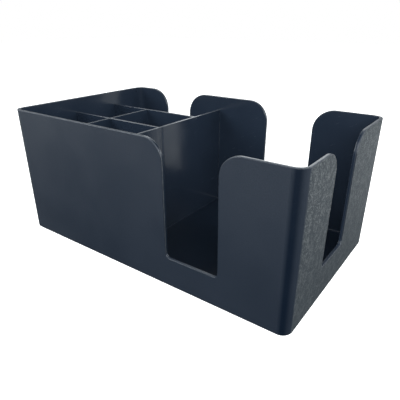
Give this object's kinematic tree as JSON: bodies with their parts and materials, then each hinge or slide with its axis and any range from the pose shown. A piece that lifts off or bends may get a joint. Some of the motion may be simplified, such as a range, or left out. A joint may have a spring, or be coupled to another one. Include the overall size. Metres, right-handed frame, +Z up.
{
  "type": "napkin caddy",
  "caption": "Open-topped bar caddy with a square napkin bay, a straw channel and condiment cups split by lift-out dividers.",
  "frame": {"origin": "centre of the footprint, on the plane that the feet stand on", "axes": "+X towards the napkin end, -Y the front with its one grab cut-out, +Z up"},
  "size_m": [0.24, 0.1414, 0.1022],
  "materials": {
    "shell_plastic": "satin moulded polypropylene with a fine spark-eroded grain outside, smooth inside",
    "panel_plastic": "smooth satin moulded polypropylene",
    "foot_rubber": "matte black rubber"
  },
  "bodies": {
    "shell": {"caddy_shell": "shell_plastic", "bay_wall": "panel_plastic", "foot_front_left": "foot_rubber", "foot_front_right": "foot_rubber", "foot_rear_left": "foot_rubber", "foot_rear_right": "foot_rubber"},
    "straw_divider_body": {"straw_divider": "panel_plastic"},
    "cup_divider_body": {"cup_divider": "panel_plastic"},
    "cross_divider_body": {"cross_divider": "panel_plastic"}
  },
  "joints": [
    {"name": "straw_divider_lift", "type": "slide", "parent": "shell", "child": "straw_divider_body", "axis": [0, 0, 1], "range_m": [0, 0.11]},
    {"name": "cup_divider_lift", "type": "slide", "parent": "shell", "child": "cup_divider_body", "axis": [0, 0, 1], "range_m": [0, 0.11]},
    {"name": "cross_divider_lift", "type": "slide", "parent": "cup_divider_body", "child": "cross_divider_body", "axis": [0, 0, 1], "range_m": [0, 0.11]}
  ]
}
